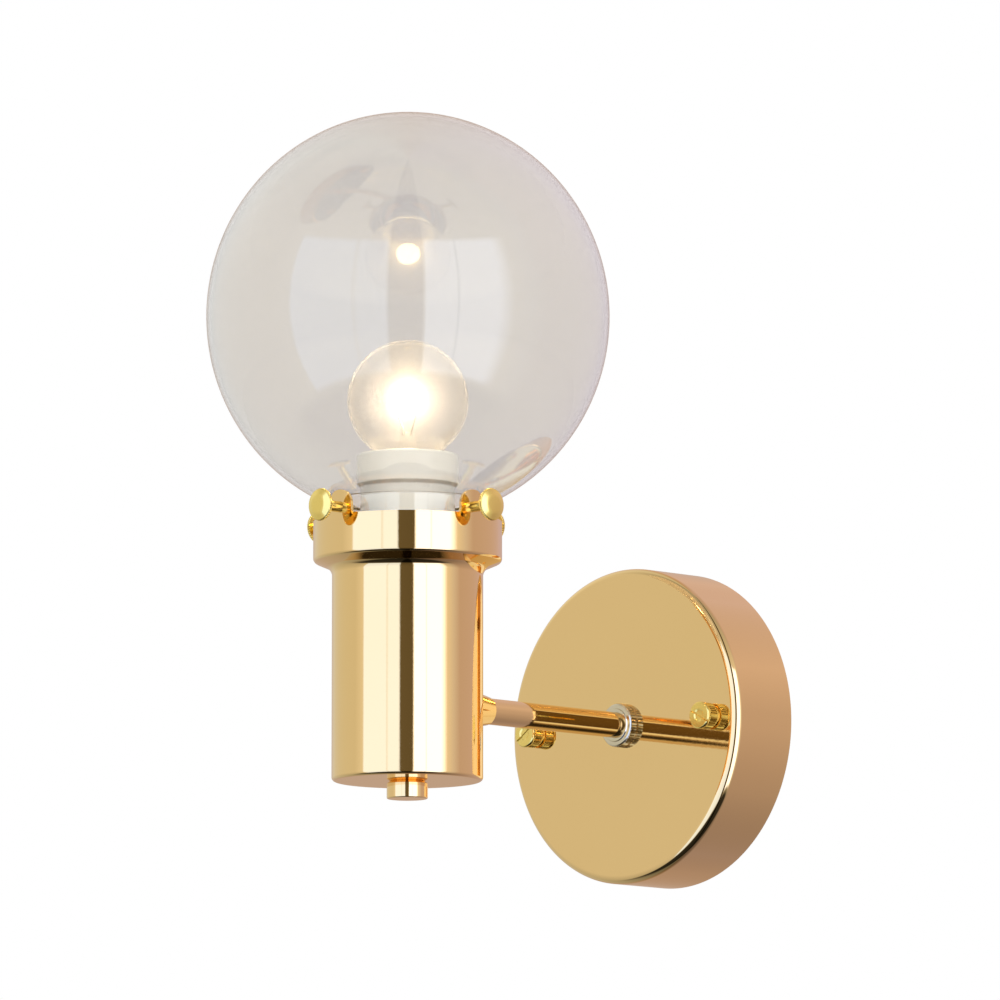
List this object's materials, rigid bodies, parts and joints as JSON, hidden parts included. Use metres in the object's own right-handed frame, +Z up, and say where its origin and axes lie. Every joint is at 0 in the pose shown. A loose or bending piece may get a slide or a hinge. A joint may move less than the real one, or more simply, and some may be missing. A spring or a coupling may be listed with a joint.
{
  "type": "globe wall sconce",
  "caption": "Wall light: clear glass globe on a polished gold cup with thumb screws, on a straight arm from a round wall plate.",
  "frame": {"origin": "on the wall, at the centre of the wall plate and on the axis of the arm", "axes": "+Y into the wall, +Z up, +X to the right for someone facing the wall; the arm runs towards -Y"},
  "size_m": [0.15, 0.218, 0.2806],
  "materials": {
    "polished_gold": "mirror-polished champagne gold plating",
    "yellow_brass": "polished brass with fine knurling",
    "nickel_ring": "warm bright nickel plate, knurled edge",
    "zinc_steel": "zinc-plated steel",
    "clear_glass": "clear blown glass",
    "porcelain": "white glazed porcelain",
    "cap_metal": "bright rolled cap",
    "black_insulator": "black glass insulator",
    "solder": "soft solder",
    "tungsten": "drawn wire",
    "glowing_filament": "coiled tungsten, lit",
    "white_plastic": "moulded insulator",
    "brown_insulation": "soft insulation",
    "blue_insulation": "soft insulation",
    "green_yellow_insulation": "soft insulation"
  },
  "bodies": {
    "sconce": {"wall_plate": "polished_gold", "arm_tube": "polished_gold", "arm_ferrule": "polished_gold", "lamp_cup": "polished_gold", "bottom_cap_nut": "polished_gold", "holder_terminals": "yellow_brass", "centre_contact": "yellow_brass", "screw_shell": "yellow_brass", "arm_ring_nut": "nickel_ring", "mounting_bracket": "zinc_steel", "bracket_studs": "zinc_steel", "stud_lock_nuts": "zinc_steel", "arm_rear_washer": "zinc_steel", "arm_rear_nut": "zinc_steel", "arm_cup_washer": "zinc_steel", "arm_cup_nut": "zinc_steel", "threaded_stem": "zinc_steel", "stem_washer": "zinc_steel", "stem_lock_nut": "zinc_steel", "holder_strap": "zinc_steel", "holder_nut": "zinc_steel", "holder_screws": "zinc_steel", "earth_screw": "zinc_steel", "earth_tag": "zinc_steel", "cup_earth_tag": "zinc_steel", "terminal_screws": "zinc_steel", "block_screw": "zinc_steel", "lampholder_body": "porcelain", "arm_bush": "white_plastic", "terminal_block": "white_plastic", "live_lead": "brown_insulation", "neutral_lead": "blue_insulation", "earth_lead": "green_yellow_insulation"},
    "front_screw": {"thumb_screw_front": "yellow_brass"},
    "right_screw": {"thumb_screw_right": "yellow_brass"},
    "wall_side_screw": {"thumb_screw_wall": "yellow_brass"},
    "left_screw": {"thumb_screw_left": "yellow_brass"},
    "globe": {"globe_neck": "clear_glass", "globe_bowl": "clear_glass", "globe_dome": "clear_glass"},
    "bulb": {"bulb_glass": "clear_glass", "bulb_cap": "cap_metal", "bulb_insulator": "black_insulator", "bulb_contact": "solder", "bulb_stem": "clear_glass", "bulb_supports": "tungsten", "bulb_filament": "glowing_filament"},
    "left_plate_nut": {"plate_nut_left": "yellow_brass"},
    "right_plate_nut": {"plate_nut_right": "yellow_brass"}
  },
  "joints": [
    {"name": "front_screw_out", "type": "slide", "parent": "sconce", "child": "front_screw", "axis": [0, -1, 0], "range_m": [0, 0.004]},
    {"name": "right_screw_out", "type": "slide", "parent": "sconce", "child": "right_screw", "axis": [1, 0, 0], "range_m": [0, 0.004]},
    {"name": "wall_side_screw_out", "type": "slide", "parent": "sconce", "child": "wall_side_screw", "axis": [0, 1, 0], "range_m": [0, 0.004]},
    {"name": "left_screw_out", "type": "slide", "parent": "sconce", "child": "left_screw", "axis": [-1, 0, 0], "range_m": [-0.0034, 0.0006]},
    {"name": "globe_lift", "type": "slide", "parent": "sconce", "child": "globe", "axis": [0, 0, 1], "range_m": [0, 0.092]},
    {"name": "bulb_unscrew", "type": "slide", "parent": "sconce", "child": "bulb", "axis": [0, 0, 1], "range_m": [0, 0.034]},
    {"name": "left_plate_nut_off", "type": "slide", "parent": "sconce", "child": "left_plate_nut", "axis": [0, -1, 0], "range_m": [0, 0.006]},
    {"name": "right_plate_nut_off", "type": "slide", "parent": "sconce", "child": "right_plate_nut", "axis": [0, -1, 0], "range_m": [0, 0.006]}
  ]
}
